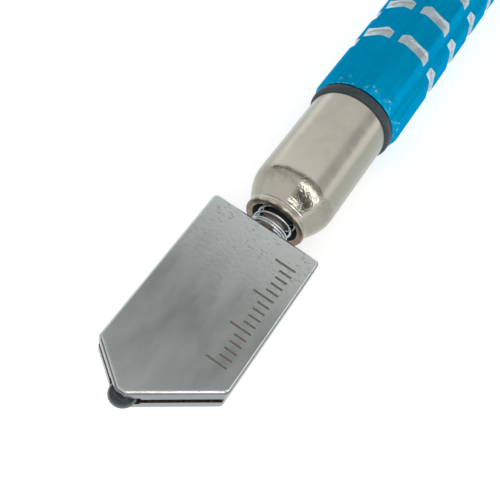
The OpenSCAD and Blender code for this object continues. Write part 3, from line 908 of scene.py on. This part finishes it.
def filler_cap():
    """Knurled knob with a waist, a rounded crown and a threaded spigot."""
    low, high = span("filler_cap")
    gasket = span("cap_gasket")[1].x
    outer, waist, crown = (high.y - low.y) / 2, 5.3, 4.9
    flange, waist_len, dome, waist_flare, knurl_land = 1.4, 1.6, 2.6, 0.1, 0.5
    grooves, groove_depth = 30, 0.35
    knurl_from = gasket + flange + waist_len
    knurl_to = high.x - dome
    outline = rounded([
        (gasket, 0, 0), (gasket, outer, 0.2), (gasket + flange, outer, 0.25),
        (gasket + flange + waist_flare, waist, 0.4), (knurl_from - waist_flare, waist, 0.4),
        (knurl_from, outer, 0.35), (knurl_from + knurl_land, outer, 0), (knurl_to - knurl_land, outer, 0),
        (knurl_to, outer, 0.2), (high.x - 0.5, crown, 1.2), (high.x, 0, 0)
    ])
    # each groove is a V with a land beside it: (share of the pitch, share of the depth)
    shares = (
        (0.0, 1.0), (0.13, 0.5), (0.255, 0.05), (0.3, 0.0),
        (0.5, 0.0), (0.7, 0.0), (0.745, 0.05), (0.87, 0.5)
    )
    groove_from, groove_to, groove_inner_r = knurl_from + 0.05, knurl_to - 0.35, waist + 0.5
    loops = []
    for k in range(grooves):
        for share, depth in shares:
            turn = TAU * (k + share) / grooves
            loop = []
            for x, r in outline:
                grooved = groove_from < x < groove_to and r > groove_inner_r
                ray = r - (groove_depth * depth if grooved else 0)
                loop.append(Vector((x, ray * sin(turn), ray * cos(turn))))
            loops.append(loop)
    made = solid("filler_cap_knob", skin(loops, wrap=True), NICKEL_CAP)
    core_r, crest_r, thread_pitch, joined = 4.3, 4.7, 1.0, 0.2
    spigot = threaded(low.x, gasket + joined, core_r, crest_r, thread_pitch)
    combine(made, [(spigot, NICKEL_CAP)], "UNION")
    return place(made, "cap", "filler_cap")


def cap_gasket():
    """Thin ring under the filler cap."""
    made = solid("cap_gasket_ring", gasket_ring(*span("cap_gasket"), 0.3), SLATE_RUBBER)
    return place(made, "cap_seal", "cap_gasket")


for build in (handle_barrel, ferrule_gasket, ferrule, return_spring, spindle, head_body, cutting_wheel,
              wheel_axle, head_screw, filler_cap, cap_gasket):
    build()

# CAD nodes that keep their own shape
KEPT = {
    "spring_seat_washer": BRIGHT_STEEL, "spindle_o_ring": SLATE_RUBBER, "valve_seal": SLATE_RUBBER,
    "valve_washer": BRIGHT_STEEL, "valve_nut": BRASS, "oil_wick": COTTON
}
for node, material in KEPT.items():
    mesh = frame["nodes"][node].data
    mesh.materials.clear()
    mesh.materials.append(material)

# ---------- stage ----------

def floor():
    """Pale sweep that the tool lies on."""
    f = Finish("pale_floor")
    darkest, palest, glow, half = 0.6, 0.64, 0.62, 15.0
    colour = f.mix(f.spread(f.noise(0.02, 2), 0.0, 1.0), (darkest,) * 3, (palest,) * 3)
    material = f.done(colour, 0.7, 0.0, None, Emission_Color=(1.0, 1.0, 1.0), Emission_Strength=glow)
    bm = bmesh.new()
    corners = ((-half, -half), (half, -half), (half, half), (-half, half))
    bm.faces.new([bm.verts.new((x, y, 0)) for x, y in corners])
    solid("floor", bm, material)


def camera():
    """Looks down on the head from in front, close enough for strong perspective."""
    eye, aim = Vector((-71.63, -29.96, 83.38)), Vector((-24.59, 0.36, 0))
    roll = radians(-0.62)
    data = bpy.data.cameras.new("camera")
    data.lens = 58.345
    data.clip_start, data.clip_end = 0.005, 20
    made = bpy.data.objects.new("camera", data)
    bpy.context.scene.collection.objects.link(made)
    look = (aim - eye).to_track_quat("-Z", "Y").to_matrix().to_4x4()
    to_frame = to_tool(0).inverted()
    made.matrix_world = Matrix.Translation(to_frame @ eye) @ look @ Matrix.Rotation(roll, 4, "Z")
    bpy.context.scene.camera = made


def studio():
    """Pale surroundings: dimmer on the near side, with a dark opening over the head between two lamps."""
    world = bpy.data.worlds.new("studio")
    bpy.context.scene.world = world
    f = Shading(world)
    x, y, z = f.node("SeparateXYZ", Vector=f.node("TexCoord").outputs["Generated"]).outputs
    near_turn = f.maths("ARCTAN2", f.times(y, -1.0), z)
    # brightness of one stretch, then each change from it: (x where it starts, x where it ends, new level)
    level = 0.52
    changes = ((0.26, 0.38, 0.14), (0.42, 0.5, 1.3), (0.51, 0.57, 0.68), (0.28, 0.18, 0.66))
    for start, end, new_level in changes:
        level = f.blend(f.step(x, start, end), level, new_level)
    near_side, near_level = (radians(38), radians(50)), 0.47
    level = f.blend(f.step(near_turn, *near_side), level, near_level)
    # the opening and the lamps reach from over the tool to past the near horizon
    sector = f.band(near_turn, radians(16), radians(100), radians(10))
    opening, opening_level = f.band(x, -0.5, -0.12, 0.04), 0.1
    level = f.blend(f.times(sector, opening), level, opening_level)
    lamp_level, lamp_soft = 4.0, 0.02
    for low, high in ((-0.1, 0.02), (-0.68, -0.54)):
        lamp = f.times(sector, f.band(x, low, high, lamp_soft))
        level = f.maths("MULTIPLY_ADD", lamp, lamp_level, level)
    horizon, horizon_level = (0.24, 0.14), 0.95
    level = f.blend(f.step(z, *horizon), level, horizon_level)
    background = f.node("Background", Color=(1.0, 1.0, 1.0), Strength=level)
    f.node("OutputWorld", Surface=background.outputs[0])
    bpy.context.scene.view_settings.view_transform = "Standard"


floor()
camera()
studio()
